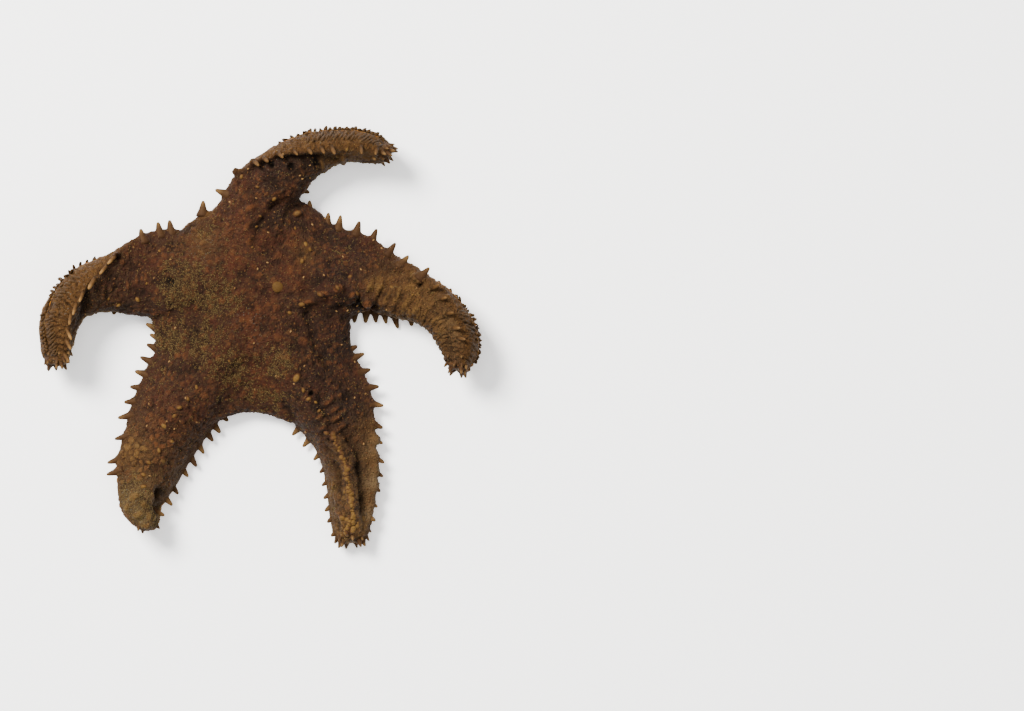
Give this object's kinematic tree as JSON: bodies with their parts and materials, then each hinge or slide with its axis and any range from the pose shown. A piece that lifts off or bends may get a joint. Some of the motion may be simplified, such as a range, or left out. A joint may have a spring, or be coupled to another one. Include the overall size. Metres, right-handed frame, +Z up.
{
  "type": "dried sheriff-badge sea star specimen",
  "caption": "Life-size still model of a dried five-armed sea star, upper side up, three arms curled and turned on edge, with spined margins.",
  "frame": {"origin": "middle of the bounding box in plan, on the surface that the specimen lies on", "axes": "+Z up out of the upper side, +X to the right and +Y away in the pictured top view, with the straight single arm pointing to -Y"},
  "size_m": [0.1293, 0.1229, 0.0226],
  "materials": {
    "upper_skin": "dry dark maroon-brown skin over small plates",
    "arm_skin": "dry olive-brown skin with khaki granules",
    "tip_skin": "dry sandy brown skin",
    "sieve_plate": "dull tan limy plate"
  },
  "bodies": {
    "root": {"disc": "upper_skin", "madreporite": "sieve_plate", "arm_1_base": "upper_skin", "arm_1_middle": "arm_skin", "arm_1_tip": "tip_skin", "arm_2_base": "upper_skin", "arm_2_middle": "arm_skin", "arm_2_tip": "tip_skin", "arm_3_base": "upper_skin", "arm_3_middle": "arm_skin", "arm_3_tip": "tip_skin", "arm_4_base": "upper_skin", "arm_4_middle": "arm_skin", "arm_4_tip": "tip_skin", "arm_5_base": "upper_skin", "arm_5_middle": "arm_skin", "arm_5_tip": "tip_skin"}
  },
  "joints": []
}
